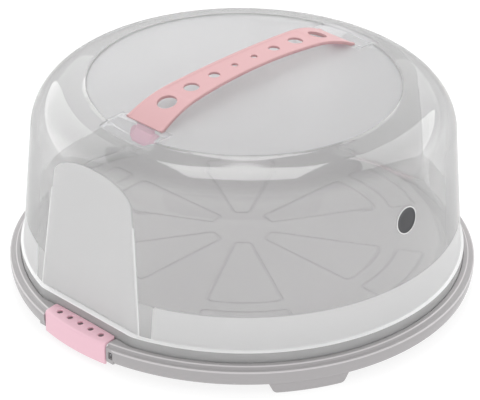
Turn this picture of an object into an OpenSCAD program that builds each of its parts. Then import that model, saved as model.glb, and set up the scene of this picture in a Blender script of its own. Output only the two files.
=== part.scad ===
// Round cake carrier: a base tray with four feet, a lift-off dome, an arched carrying strap
// that hooks into the dome, and two clips that hinge on pins in the tray's rim.
// The origin is on the table under the middle of the tray, +Z is up, X runs from clip to clip,
// and -Y is the side with the round badge.

/* [Base tray] */
// Radius of the tray at the outer edge of its rim
rim_r = 175; // [172:0.5:180]
// Height of the rim's top above the table
rim_z = 19; // [18:0.5:21]
// Height of the skirt's lower edge above the table
skirt_z = 7.8; // [6:0.1:9]
// How much narrower the skirt is at its lower edge
skirt_draft = 1.7; // [0.5:0.1:2.5]
// Height of the flat shelf inside the rim
shelf_rise = 2.3; // [1.5:0.1:3]
// Radius of the raised platform
platform_r = 148; // [140:0.5:150]
// Height of the platform above the table
platform_z = 32.7; // [30:0.1:35]
// Wall thickness of the tray
tray_wall = 2.2; // [1.8:0.1:2.6]

/* [Platform pattern] */
// Number of petals, two of which mark three slices
petal_count = 6; // [4:2:8]
// Turn of the pattern from the clip axis
petal_turn = 45; // [0:5:90]
// Half of the angle that a petal covers
petal_half_angle = 15; // [10:1:20]
// Inner and outer radius of a petal
petal_r = [21, 107]; // [18:1:112]
// Inner and outer radius of the tiles outside the petals
tile_r = [117, 139]; // [114:1:141]
// Width of the groove round each petal and tile
groove_w = 2; // [1.5:0.1:2.5]
// Depth of that groove
groove_d = 0.9; // [0.4:0.1:1.2]

/* [Feet] */
// Angles of the feet from the right clip, each on both sides of the clip axis
foot_turns = [40, 120]; // [38:1:122]
// Half width of a foot where it leaves the skirt
foot_half_w = 29.3; // [20:0.1:32]
// Half width of a foot on the table
foot_half_w_low = 25.5; // [16:0.1:28]
// Thickness of a foot, from its face inwards
foot_depth = 6; // [4:0.5:8]

/* [Dome] */
// Radius of the dome's wall just above its flange
dome_r = 164.15; // [162:0.05:165]
// Height of the flange's upper edge
flange_z = 29.8; // [29:0.1:32]
// How far the flange stands out from the wall
flange_step = 2.2; // [1.8:0.1:2.4]
// Lean of the dome's wall, in degrees
wall_lean = 4.93; // [4:0.1:6]
// Radius of the large shoulder rounding
shoulder_round = 32.6; // [28:0.2:34]
// Height of the middle of that rounding
shoulder_z = 121.4; // [115:0.2:125]
// Slope of the shoulder between the rounding and the top panel, in degrees
shoulder_slope = 11.6; // [9:0.1:14]
// Radius of the raised top panel
panel_r = 115.2; // [112:0.1:118]
// How far the top panel stands above the shoulder
panel_step = 0.7; // [0.5:0.1:1]
// Wall thickness of the dome
dome_wall = 1.8; // [1.5:0.1:2]
// Distance from the middle to the flat at each clip, at the flange's height
flat_x = 156.3; // [155.5:0.1:158]
// Lean of each flat, in degrees; it stands steeper than the round wall
flat_lean = 3.2; // [2.5:0.1:5]
// How far the flange stands out from each flat
flat_step = 3.4; // [2.2:0.1:4]

/* [Strap] */
// Height of the strap's top at its middle
strap_z = 173.3; // [170:0.1:178]
// Half of the strap's length
strap_half_l = 100.8; // [98:0.1:101.5]
// Radius of the long shallow arch
arch_r = 640; // [560:5:720]
// Where the arch starts to bend down to the dome
bend_x = 62; // [58:0.5:66]
// Radius of that bend
bend_r = 97; // [92:1:104]
// Thickness of the strap
strap_t = 2.6; // [2:0.1:3]
// Half width at the middle and at the ends
strap_half_w = [13.2, 18]; // [12:0.1:19]
// Places of the holes from the middle
hole_x = [10, 31, 54, 78]; // [8:1:80]
// Diameters of the holes at those places
hole_d = [5, 8.4, 11.4, 14.5]; // [4:0.1:15]
// How far the strap can rise before its barbs catch under the dome
strap_play = 3; // [2:0.5:4]

/* [Clips] */
// Half of a clip's length
clip_half_l = 31; // [26:0.1:31]
// Radius that the clip's face follows
clip_face_r = 173.8; // [173:0.1:174.5]
// Height of the clip's lower edge
clip_low_z = 4.3; // [3.5:0.1:6]
// Height of the clip's plate at its inner edge
clip_top_z = 23.3; // [23:0.1:24]
// Thickness of the clip's wall
clip_wall = 2.2; // [1.8:0.1:2.4]
// Gap between the plate's inner edge and the dome's flat flange
clip_gap = 0.4; // [0.3:0.1:0.8]
// Number of holes in the plate
clip_hole_count = 5; // [1:2:5]
// Diameter of those holes
clip_hole_d = 4.4; // [3:0.1:5]
// Spacing of those holes
clip_hole_gap = 10.7; // [8:0.1:12]
// Distance of the hinge pin from the middle of the tray
pin_x = 167.3; // [167:0.1:167.8]
// Height of the hinge pin
pin_z = 13; // [12.5:0.1:13.5]
// Diameter of the hinge pin
pin_d = 3; // [2.5:0.1:3.2]
// Running clearance round the pin, on the radius
pin_clearance = 0.05; // [0.02:0.01:0.1]

/* [Badge] */
// Diameter of the plain round badge
badge_d = 20.4; // [16:0.2:26]
// Height of the badge's middle
badge_z = 104; // [90:1:110]
// Thickness of the badge
badge_t = 0.5; // [0.4:0.1:0.8]

/* [Hidden] */
$fn = 96;
eps = 0.01;
far = 400;

shelf_z = rim_z + shelf_rise;
skirt_low_r = rim_r - skirt_draft;
shelf_r = 153.8;
foot_face_r = skirt_low_r - 0.4;
flange_r = dome_r + flange_step;
flange_flat_x = flat_x + flat_step;
seat_z = shelf_z - 2.6;
lid_low_z = seat_z + 0.1;
seat_gap = 0.35;
seat_floor = 2.3;

shoulder_c = dome_r - (shoulder_z - flange_z) * tan(wall_lean) - shoulder_round / cos(wall_lean);
panel_z = shoulder_z + shoulder_round / cos(shoulder_slope) + panel_step
        - (panel_r - shoulder_c) * tan(shoulder_slope);
pocket_z = panel_z - panel_step;
pocket_x = 102.8;
pocket_half_w = 25;
pocket_round = 7;

neck_x = [97.4, 99.8];
neck_half_w = 8;
slot_gap = 0.5;
barb_half_w = 12.3;
barb_tip_half_w = 5.5;
barb_top_z = panel_z - 2.1 - dome_wall * 0.2 - strap_play;
barb_low_z = barb_top_z - 6.2;
barb_reach = 8;
barb_t = 1.8;
strap_lift = 0.15;
strap_rim = 3;
strap_recess = 0.6;
strap_recess_half_l = 68;

ledge_x = 163;
ledge_z = 20.3;
recess_half_l = clip_half_l + 0.6;
ear_half_l = 38.6;
ear_x = 163.4;
ear_low_z = 8.6;
ear_face_x = 170;
ear_face_y = 39.2;
window_y = [33.6, 38];
window_z = [10.4, 16.2];
pin_half_l = 37.6;
pin_short = 1.8;
barrel_r = 2.9;
clip_round = 2.4;
clip_hole_x = 165;
badge_edge = 0.7;

// Point on a circle round c at angle a
function polar(c, r, a) = c + r * [cos(a), sin(a)];

// Points on an arc round c, from angle a to angle b, in n steps
function arc(c, r, a, b, n) = [for (i = [0:n]) polar(c, r, a + (b - a) * i / n)];

// The same arc without its two ends
function inner_arc(c, r, a, b, n) = [for (i = [1:n - 1]) polar(c, r, a + (b - a) * i / n)];

function reversed(points) = [for (i = [len(points) - 1:-1:0]) points[i]];

// Outline of a ring sector along +X with rounded corners, drawn in by inset on every side
function sector_outline(r, half, inset, corner) =
    let (r0 = r[0] + inset, r1 = r[1] - inset,
         co = r1 - corner, ci = r0 + corner,
         ao = half - asin((inset + corner) / co), ai = half - asin((inset + corner) / ci))
    concat(
        inner_arc([0, 0], r1, -ao, ao, 7),
        arc(polar([0, 0], co, ao), corner, ao, half + 90, 4),
        arc(polar([0, 0], ci, ai), corner, half + 90, ai + 180, 4),
        inner_arc([0, 0], r0, ai, -ai, 2),
        arc(polar([0, 0], ci, -ai), corner, 180 - ai, 270 - half, 4),
        arc(polar([0, 0], co, -ao), corner, 270 - half, 360 - ao, 4));

// Half section of the tray, drawn from the middle of the platform to the skirt and back underneath
module tray_section() {
    polygon([
        [0, platform_z], [platform_r - 1.5, platform_z], [platform_r, platform_z - 0.8],
        [shelf_r - 1, shelf_z + 1], [shelf_r, shelf_z],
        [rim_r - 5.4, shelf_z], [rim_r - 4.6, shelf_z - 0.4],
        [rim_r - 3.4, rim_z + 0.3], [rim_r - 3, rim_z],
        [rim_r - 0.7, rim_z], [rim_r, rim_z - 0.7],
        [skirt_low_r, skirt_z],
        [skirt_low_r - tray_wall, skirt_z],
        [rim_r - tray_wall - 0.4, rim_z - tray_wall - 0.4],
        [rim_r - tray_wall - 1, seat_z - seat_floor], [shelf_r + 1.8, seat_z - seat_floor],
        [shelf_r + 0.6, shelf_z - tray_wall], [shelf_r - 1.6, shelf_z - tray_wall],
        [shelf_r - 2.8, shelf_z - tray_wall + 1],
        [platform_r - 2.4, platform_z - tray_wall - 0.9], [platform_r - 3.3, platform_z - tray_wall],
        [0, platform_z - tray_wall]
    ]);
}

// Everything inside the tray's outer face, down to the table
module tray_envelope() {
    rotate_extrude()
        polygon([[0, 0], [foot_face_r, 0], [foot_face_r, skirt_z + 1], [rim_r - 1, rim_z - 1],
                 [0, rim_z - 1]]);
}

// Ring between two outlines that follow the dome's flange: round, with a flat at each clip
module flange_outline(grow) {
    intersection() {
        circle(r = flange_r + grow, $fn = 180);
        square([2 * (flange_flat_x + grow), far], center = true);
    }
}

module lid_seat() {
    translate([0, 0, seat_z])
        linear_extrude(10)
            difference() {
                flange_outline(seat_gap);
                flange_outline(-dome_wall - seat_gap);
            }
}

// Rounded trapezoid of one foot, in the plane across its radius
module foot_outline() {
    round_r = 4;
    lean = atan((foot_half_w - foot_half_w_low) / skirt_z);
    side = foot_half_w_low - round_r * tan((90 - lean) / 2);
    high = skirt_z + 5;
    high_half_w = foot_half_w + 5 * tan(lean);
    right = concat(arc([side, round_r], round_r, -90, -lean, 4), [[high_half_w, high]]);
    polygon(concat(right, reversed([for (p = right) [-p[0], p[1]]])));
}

module feet() {
    intersection() {
        tray_envelope();
        difference() {
            union()
                for (turn = foot_turns, way = [-1, 1])
                    rotate([0, 0, way * turn])
                        translate([rim_r - 30, 0, 0])
                            rotate([90, 0, 90])
                                linear_extrude(40)
                                    foot_outline();
            translate([0, 0, -1])
                cylinder(r = skirt_low_r - foot_depth, h = 30, $fn = 180);
        }
    }
}

// Blocks that hold the ends of a hinge pin, beside the clip's recess
module ears(side) {
    intersection() {
        tray_envelope();
        for (end = [-1, 1])
            translate([side * (ear_x + rim_r) / 2, end * (clip_half_l + ear_half_l) / 2,
                       (ear_low_z + rim_z) / 2])
                cube([rim_r - ear_x, ear_half_l - clip_half_l, rim_z - ear_low_z], center = true);
    }
}

module pin_bore(side, r, half_l) {
    translate([side * pin_x, 0, pin_z])
        rotate([90, 0, 0])
            cylinder(r = r, h = 2 * half_l, center = true);
}

// Room for one clip: a deep recess, a lower ledge under the plate's inner edge, and at the end where
// the pin goes in a flat face with a window in it
module clip_recess(side) {
    translate([side * (ledge_x + 10), 0, 15])
        cube([20, 2 * recess_half_l, 30], center = true);
    translate([side * (ledge_x + 8), 0, ledge_z + 10])
        cube([24, 2 * recess_half_l, 20], center = true);
    translate([side * (ear_face_x + 10), side * ear_face_y / 2, 15])
        cube([20, ear_face_y, 30], center = true);
    translate([side * (pin_x + 10), side * (window_y[0] + window_y[1]) / 2, (window_z[0] + window_z[1]) / 2])
        cube([20, window_y[1] - window_y[0], window_z[1] - window_z[0]], center = true);
}

module groove_ring(r, corner) {
    translate([0, 0, platform_z - groove_d])
        linear_extrude(groove_d + 1)
            difference() {
                polygon(sector_outline(r, petal_half_angle, 0, corner));
                polygon(sector_outline(r, petal_half_angle, groove_w, corner - 1));
            }
}

module base_tray() {
    color("gainsboro")
        difference() {
            union() {
                rotate_extrude($fn = 180)
                    tray_section();
                feet();
                ears(-1);
                ears(1);
            }
            lid_seat();
            for (i = [0:petal_count - 1])
                rotate([0, 0, petal_turn + i * 360 / petal_count]) {
                    groove_ring(petal_r, 4);
                    groove_ring(tile_r, 4);
                }
            for (side = [-1, 1]) {
                clip_recess(side);
                pin_bore(side, pin_d / 2 + pin_clearance, pin_half_l + 0.2);
            }
            translate([0, 0, platform_z - 0.4])
                cylinder(r = 1, h = 2, $fn = 24);
        }
}

// Half section of the dome's closed outer form, drawn in by inset
module dome_section(inset) {
    round_r = shoulder_round - inset;
    c = [shoulder_c, shoulder_z];
    wall_top = c + round_r * [cos(wall_lean), sin(wall_lean)];
    slope_start = c + round_r * [sin(shoulder_slope), cos(shoulder_slope)];
    wall_low = [wall_top[0] + (wall_top[1] - flange_z + 2) * tan(wall_lean), flange_z - 2];
    panel_edge = panel_r - inset;
    slope_end = [panel_edge, slope_start[1] + (slope_start[0] - panel_edge) * tan(shoulder_slope)];
    top = panel_z - inset * (panel_step + dome_wall) / dome_wall * 0.84;
    polygon([[0, flange_z - 2], wall_low, wall_top, c, slope_start, slope_end,
             [panel_edge - 0.4, top], [0, top]]);
    intersection() {
        translate(c)
            circle(r = round_r, $fn = 180);
        polygon([c, c + 60 * [cos(wall_lean), sin(wall_lean)], c + [60, 60],
                 c + 60 * [sin(shoulder_slope), cos(shoulder_slope)]]);
    }
}

// Space between the two leaning flats at the clips, drawn in by inset
module between_flats(inset) {
    half = flat_x - inset / cos(flat_lean);
    low = flange_z - 10;
    high = panel_z + 20;
    rotate([90, 0, 0])
        linear_extrude(far, center = true)
            polygon([[-half - 10 * tan(flat_lean), low], [half + 10 * tan(flat_lean), low],
                     [half - (high - flange_z) * tan(flat_lean), high],
                     [-half + (high - flange_z) * tan(flat_lean), high]]);
}

module dome_solid(inset) {
    intersection() {
        rotate_extrude($fn = 180)
            dome_section(inset);
        between_flats(inset);
    }
}

// Flange below the dome's wall, with a small chamfer on its upper edge
module flange_solid(inset, low, high) {
    chamfer = 0.5;
    translate([0, 0, low])
        linear_extrude(high - low - chamfer)
            flange_outline(-inset);
    translate([0, 0, high - chamfer - eps])
        linear_extrude(chamfer + eps)
            flange_outline(-inset - chamfer / 2);
}

// Pockets in the top panel at the strap's ends, with rounded corners
module strap_pockets() {
    reach = 30;
    for (side = [-1, 1])
        translate([side * (pocket_x + reach / 2), 0, pocket_z])
            linear_extrude(5)
                polygon(concat(
                    [[side * reach / 2, -pocket_half_w - 20], [side * reach / 2, pocket_half_w + 20]],
                    arc([side * (8 - reach / 2), pocket_half_w + pocket_round],
                        pocket_round, side > 0 ? -40 : -140, -90, 4),
                    [[-side * reach / 2, pocket_half_w - 2], [-side * reach / 2, -pocket_half_w + 2]],
                    arc([side * (8 - reach / 2), -pocket_half_w - pocket_round],
                        pocket_round, 90, side > 0 ? 40 : 140, 4)));
}

module lid_dome() {
    color("silver", 0.45)
        difference() {
            union() {
                dome_solid(0);
                flange_solid(0, lid_low_z, flange_z);
            }
            dome_solid(dome_wall);
            translate([0, 0, -eps])
                flange_solid(dome_wall, lid_low_z - 1, flange_z - dome_wall);
            strap_pockets();
            for (side = [-1, 1])
                translate([side * (neck_x[0] + neck_x[1]) / 2, 0, panel_z])
                    cube([neck_x[1] - neck_x[0] + 2 * slot_gap, 2 * (neck_half_w + slot_gap), 10], center = true);
        }
}

// Line along the strap, drawn in by inset: a long shallow arch with a tighter bend at each end
function arch_line(inset) =
    let (turn = asin(bend_x / arch_r), arch_c = [0, strap_z - arch_r],
         bend_c = polar(arch_c, arch_r - bend_r, 90 - turn), last = 54)
    concat(
        arc([-bend_c[0], bend_c[1]], bend_r - inset, 180 - last, 90 + turn, 9),
        inner_arc(arch_c, arch_r - inset, 90 + turn, 90 - turn, 10),
        arc(bend_c, bend_r - inset, 90 - turn, last, 9));

// Plan of the strap with its drawn-in sides, made narrower by inset
module strap_plan(inset, half_l) {
    sag = strap_half_w[1] - strap_half_w[0];
    side_r = (strap_half_l * strap_half_l + sag * sag) / (2 * sag);
    difference() {
        square([2 * half_l, 2 * strap_half_w[1] + 10], center = true);
        for (side = [-1, 1])
            translate([0, side * (strap_half_w[0] - inset + side_r)])
                circle(r = side_r, $fn = 720);
    }
}

module strap_band() {
    intersection() {
        rotate([90, 0, 0])
            linear_extrude(60, center = true)
                polygon(concat(arch_line(0), reversed(arch_line(strap_t))));
        translate([0, 0, panel_z + strap_lift])
            linear_extrude(50)
                strap_plan(0, strap_half_l);
    }
}

// The shallow recess between the raised lines along the strap's edges
module strap_recess_cut() {
    intersection() {
        rotate([90, 0, 0])
            linear_extrude(60, center = true)
                polygon(concat([[-far, strap_z + 10]], arch_line(strap_recess), [[far, strap_z + 10]]));
        translate([0, 0, panel_z])
            linear_extrude(50)
                strap_plan(strap_rim, strap_recess_half_l);
    }
}

// Hook at one end of the strap: a neck through the dome's slot and a barbed plate that leans outwards
module strap_hook() {
    neck_low = barb_top_z - 1;
    translate([neck_x[0], -neck_half_w, neck_low])
        cube([neck_x[1] - neck_x[0], 2 * neck_half_w, panel_z + 0.8 - neck_low]);
    intersection() {
        rotate([90, 0, 0])
            linear_extrude(2 * barb_half_w, center = true)
                polygon([[neck_x[0], barb_top_z], [neck_x[0] + barb_t * 1.5, barb_top_z],
                         [neck_x[0] + barb_reach + barb_t, barb_low_z + 0.6],
                         [neck_x[0] + barb_reach + barb_t, barb_low_z],
                         [neck_x[0] + barb_reach, barb_low_z], [neck_x[0], barb_top_z - barb_t]]);
        translate([neck_x[0] - 1, 0, barb_low_z - 1])
            linear_extrude(20)
                polygon([[0, -barb_half_w], [barb_reach * 0.6, -barb_half_w],
                         [barb_reach + 4, -barb_tip_half_w], [barb_reach + 4, barb_tip_half_w],
                         [barb_reach * 0.6, barb_half_w], [0, barb_half_w]]);
    }
}

module handle_strap() {
    color("lightpink")
        difference() {
            union() {
                strap_band();
                for (side = [0, 1])
                    mirror([side, 0, 0])
                        strap_hook();
            }
            strap_recess_cut();
            for (i = [0:len(hole_x) - 1])
                for (side = [-1, 1])
                    translate([side * hole_x[i], 0, panel_z + 1])
                        cylinder(d = hole_d[i], h = 30, $fn = 48);
        }
}

// Half section of a clip's outer form: a plate that falls a little outwards, and its face
module clip_section(inset) {
    face = clip_face_r - inset;
    plate = clip_top_z - (inset > 0 ? 1.7 : 0);
    fall = 1.4;
    c = [face - clip_round, plate - fall - clip_round];
    polygon(concat([[150, clip_low_z - (inset > 0 ? 1 : 0)], [face - 0.9, clip_low_z - (inset > 0 ? 1 : 0)]],
                   [[face, clip_low_z + 0.9]], arc(c, clip_round, 0, 84, 6),
                   [[flange_flat_x + clip_gap, plate], [150, plate]]));
}

module latch() {
    color("pink")
        difference() {
            intersection() {
                union() {
                    difference() {
                        rotate_extrude($fn = 180)
                            clip_section(0);
                        rotate_extrude($fn = 180)
                            clip_section(clip_wall);
                    }
                    pin_bore(1, barrel_r, clip_half_l);
                    translate([pin_x, -clip_half_l, pin_z - 1])
                        cube([clip_face_r - 1 - pin_x, 2 * clip_half_l, 2]);
                }
                translate([flange_flat_x + clip_gap, -clip_half_l, 0])
                    cube([30, 2 * clip_half_l, 30]);
                cylinder(r = clip_face_r, h = 30, $fn = 180);
            }
            pin_bore(1, pin_d / 2 + pin_clearance, far);
            for (i = [0:clip_hole_count - 1])
                translate([clip_hole_x, (i - (clip_hole_count - 1) / 2) * clip_hole_gap, pin_z + barrel_r + 1])
                    cylinder(d = clip_hole_d, h = 20, $fn = 36);
        }
}

module latch_left() {
    rotate([0, 0, 180])
        latch();
}

module latch_right() {
    latch();
}

// A pin is a little shorter at the end that shows in the window
module hinge_pin(side) {
    color("gray")
        translate([0, -side * pin_short / 2, 0])
            pin_bore(side, pin_d / 2, pin_half_l - pin_short / 2);
}

module hinge_pin_left() {
    hinge_pin(-1);
}

module hinge_pin_right() {
    hinge_pin(1);
}

// Plain round badge on the dome's wall, with a thin raised edge
module badge_disc() {
    color("dimgray")
        difference() {
            intersection() {
                difference() {
                    rotate_extrude($fn = 180)
                        dome_section(-badge_t);
                    rotate_extrude($fn = 180)
                        dome_section(-0.02);
                }
                translate([0, 0, badge_z])
                    rotate([90, 0, 0])
                        cylinder(d = badge_d, h = rim_r, $fn = 72);
            }
            intersection() {
                difference() {
                    rotate_extrude($fn = 180)
                        dome_section(-badge_t - 1);
                    rotate_extrude($fn = 180)
                        dome_section(-badge_t + 0.15);
                }
                translate([0, 0, badge_z])
                    rotate([90, 0, 0])
                        cylinder(d = badge_d - 2 * badge_edge, h = rim_r, $fn = 72);
            }
        }
}

base_tray();
lid_dome();
handle_strap();
latch_left();
latch_right();
hinge_pin_left();
hinge_pin_right();
badge_disc();
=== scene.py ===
import math

import bmesh
import bpy
from mathutils import Matrix, Vector


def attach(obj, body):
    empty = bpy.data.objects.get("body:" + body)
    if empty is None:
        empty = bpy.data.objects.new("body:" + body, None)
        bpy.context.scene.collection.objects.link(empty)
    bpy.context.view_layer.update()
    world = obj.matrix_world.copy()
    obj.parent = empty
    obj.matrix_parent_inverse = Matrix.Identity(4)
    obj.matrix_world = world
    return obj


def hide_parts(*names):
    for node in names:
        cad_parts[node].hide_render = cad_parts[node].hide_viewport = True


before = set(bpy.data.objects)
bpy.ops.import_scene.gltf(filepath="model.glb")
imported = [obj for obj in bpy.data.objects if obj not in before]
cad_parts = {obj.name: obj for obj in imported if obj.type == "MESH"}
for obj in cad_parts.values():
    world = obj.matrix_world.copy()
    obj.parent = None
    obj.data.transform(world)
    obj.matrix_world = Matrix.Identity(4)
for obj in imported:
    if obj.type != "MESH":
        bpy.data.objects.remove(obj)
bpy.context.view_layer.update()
mm = 0.001
print("frame loaded")

view = {
    "place": (-1.05799, -1.01103, 0.8876),
    "lens": 168.8,  # on a 36 mm sensor
    "tilt": 1.645,  # degrees above the line to the origin
    "pan": -0.070,
    "roll": 0.673,
}


def makeCamera():
    data = bpy.data.cameras.new("camera")
    data.lens = view["lens"]
    data.sensor_width = 36
    data.clip_start = 0.05
    data.clip_end = 50
    camera = bpy.data.objects.new("camera", data)
    bpy.context.scene.collection.objects.link(camera)
    place = Vector(view["place"])
    ahead = -place.normalized()
    right = ahead.cross(Vector((0, 0, 1))).normalized()
    up = right.cross(ahead)
    ahead += math.tan(math.radians(view["pan"])) * right + math.tan(math.radians(view["tilt"])) * up
    turn = ahead.to_track_quat("-Z", "Y").to_matrix().to_4x4()
    camera.matrix_world = Matrix.Translation(place) @ turn @ Matrix.Rotation(math.radians(view["roll"]), 4, "Z")
    bpy.context.scene.camera = camera


makeCamera()

# sizes shared by the pieces, in millimetres, as the solids have them
tray = {
    "rim": 175,
    "rimTop": 19,
    "skirtLow": 7.8,
    "skirtLowRadius": 173.3,
    "shelf": 21.3,
    "platform": 32.7,
    "platformRadius": 148,
    "shelfInner": 153.8,
    "wall": 2.2,
    "seat": 18.7,  # floor of the groove that takes the dome's flange
    "seatInner": 164.2,
    "seatOuter": 166.55,
    "grooveWidth": 2.6,
    "grooveDepth": 0.85,
    "petals": 6,
    "petalTurn": 45,
    "petalHalf": 15,
    "petalSpan": (22, 106),
    "tileSpan": (118, 138),
    "feet": (40, 120, 240, 320),
}
dome = {
    "low": 18.8,
    "flangeTop": 29.8,
    "flange": 166.35,
    "foot": 164.15,  # radius of the wall where it leaves the flange
    "lean": 4.93,
    "shoulder": 121.4,
    "shoulderRound": 32.6,
    "slope": 11.6,
    "panel": 115.2,
    "step": 0.7,
    "crown": 0.3,
    "wall": 1.8,
    "flat": 156.3,  # half distance between the flats at the flange's height
    "flatLean": 3.2,
    "flangeFlat": 159.7,
    "flatBlend": 0.9,
    "crease": 0.3,
    "pocket": (101.6, 0.7, 25),
    "bandLow": 30.7,
    "bandHigh": 55.5,
    "bandEnd": 59.5,
    "bandCorner": 1.2,
}
dome["lean"] = math.radians(dome["lean"])
dome["slope"] = math.radians(dome["slope"])
dome["flatLean"] = math.radians(dome["flatLean"])
dome["centre"] = (
    dome["foot"]
    - (dome["shoulder"] - dome["flangeTop"]) * math.tan(dome["lean"])
    - dome["shoulderRound"] / math.cos(dome["lean"])
)
dome["top"] = (
    dome["shoulder"]
    + dome["shoulderRound"] / math.cos(dome["slope"])
    + dome["step"]
    - (dome["panel"] - dome["centre"]) * math.tan(dome["slope"])
)
strap = {
    "high": 173.3,
    "halfLength": 100.8,
    "arch": 640,
    "bendAt": 62,
    "bend": 97,
    "thick": 2.6,
    "halfWidth": (13.2, 18.0),
    "holes": ((10, 5.0), (31, 8.4), (54, 11.4), (78, 14.5)),
    "ridge": 2.6,
    "recess": 0.6,
    "recessEnd": 70,
    "lift": 0.16,
    "neck": (97.4, 99.8, 8.0),
    "barbTop": 151.6,
    "barbReach": 9.4,
    "barbHalf": 12.2,
    "barbTip": 5.4,
}
clip = {
    "half": 31.0,
    "back": 160.1,
    "face": 173.79,
    "low": 4.3,
    "high": 23.3,
    "fall": 1.4,
    "wall": 2.0,
    "round": 2.4,
    "pin": (167.3, 13.0),
    "barrel": 2.9,
    "holes": 5,
    "holeGap": 10.7,
    "holeSize": 4.4,
    "holeAt": 165,
}
columns = ((40, 80), (140, 100), (40, 80), (140, 100))  # degrees and steps of one full turn, dense at the flats


def arcPoints(x, z, radius, start, end, steps):
    points = []
    for i in range(steps + 1):
        a = math.radians(start + (end - start) * i / steps)
        points.append((x + radius * math.cos(a), z + radius * math.sin(a)))
    return points


def spinProfile(bm, profile, closed=False):
    first = Matrix.Rotation(math.radians(-columns[0][0] / 2), 3, "Z")
    verts = [bm.verts.new(first @ Vector((r * mm, 0, z * mm))) for r, z in profile]
    pairs = list(zip(verts, verts[1:]))
    if closed:
        pairs.append((verts[-1], verts[0]))
    made = verts + [bm.edges.new(pair) for pair in pairs]
    for degrees, steps in columns:
        turned = bmesh.ops.spin(
            bm, geom=made, cent=(0, 0, 0), axis=(0, 0, 1), angle=math.radians(degrees), steps=steps, use_merge=False
        )
        made = turned["geom_last"]
    bmesh.ops.remove_doubles(bm, verts=bm.verts, dist=1e-6)
    bmesh.ops.dissolve_degenerate(bm, edges=bm.edges, dist=1e-7)


def softLimit(value, limit, blend):
    share = max(0.0, min(1.0, 0.5 + 0.5 * (limit - value) / blend))
    return limit * (1 - share) + value * share - blend * share * (1 - share)


def finishPiece(name, bm, body, material, nodes=(), sharp=38):
    bm.normal_update()
    for edge in bm.edges:
        edge.smooth = len(edge.link_faces) == 2 and edge.calc_face_angle(0) < math.radians(sharp)
    for face in bm.faces:
        face.smooth = True
    mesh = bpy.data.meshes.new(name)
    bm.to_mesh(mesh)
    bm.free()
    piece = bpy.data.objects.new(name, mesh)
    bpy.context.scene.collection.objects.link(piece)
    mesh.materials.append(material)
    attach(piece, body)
    if nodes:
        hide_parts(*nodes)
    print("made", name, len(mesh.polygons), "faces")
    return piece


def cutWith(bm, cutter, operation="DIFFERENCE"):
    objects = []
    for part in (bm, cutter):
        mesh = bpy.data.meshes.new("cutting")
        part.to_mesh(mesh)
        part.free()
        item = bpy.data.objects.new("cutting", mesh)
        bpy.context.scene.collection.objects.link(item)
        objects.append(item)
    modifier = objects[0].modifiers.new("cut", "BOOLEAN")
    modifier.operation = operation
    modifier.solver = "EXACT"
    modifier.object = objects[1]
    bpy.context.view_layer.update()
    evaluated = objects[0].evaluated_get(bpy.context.evaluated_depsgraph_get())
    result = bmesh.new()
    result.from_mesh(evaluated.to_mesh())
    evaluated.to_mesh_clear()
    for item in objects:
        mesh = item.data
        bpy.data.objects.remove(item)
        bpy.data.meshes.remove(mesh)
    bmesh.ops.dissolve_degenerate(result, edges=result.edges, dist=2e-6)
    print("cut", operation, len(result.faces), "faces")
    return result


def addBox(bm, low, high, round_=0.0, turn=0.0):
    made = bmesh.ops.create_cube(bm, size=1)["verts"]
    centre = (Vector(low) + Vector(high)) / 2 * mm
    size = (Vector(high) - Vector(low)) * mm
    bmesh.ops.scale(bm, vec=size, verts=made)
    bmesh.ops.translate(bm, vec=centre, verts=made)
    if round_:
        edges = list({edge for vert in made for edge in vert.link_edges})
        made = bmesh.ops.bevel(
            bm, geom=edges, offset=round_ * mm, segments=2, profile=0.5, affect="EDGES", material=-1
        )["verts"]
    if turn:
        bmesh.ops.rotate(bm, cent=(0, 0, 0), matrix=Matrix.Rotation(turn, 3, "Z"), verts=made)
    return made


def sectorOutline(span, half, corner):
    # centre line of a groove round a petal or tile, as points round a sector with rounded corners
    inner, outer = span
    points = []
    for radius, sign, steps in ((outer - corner, -1, 1), (outer - corner, 1, 1), (inner + corner, 1, 1), (inner + corner, -1, 1)):
        side = math.degrees(math.asin(corner / radius))
        angle = math.radians(sign * (half - side))
        centre = (radius * math.cos(angle), radius * math.sin(angle))
        points.append((centre, sign, radius > (inner + outer) / 2))
    outline = []
    corners = (
        (points[0][0], -90 - half, -math.degrees(math.atan2(-points[0][0][1], points[0][0][0]))),
        (points[1][0], math.degrees(math.atan2(points[1][0][1], points[1][0][0])), 90 + half),
        (points[2][0], 90 + half, 180 + math.degrees(math.atan2(points[2][0][1], points[2][0][0]))),
        (points[3][0], 180 - math.degrees(math.atan2(-points[3][0][1], points[3][0][0])), 270 - half),
    )
    for index, ((cx, cy), start, end) in enumerate(corners):
        outline += arcPoints(cx, cy, corner, start, end, 5)
        if index in (0, 2):
            last = outline[-1]
            radius = math.hypot(*last)
            a0 = math.degrees(math.atan2(last[1], last[0]))
            outline += arcPoints(0, 0, radius, a0, -a0, 8)[1:-1]
    return outline


print("helpers ready")


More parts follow.
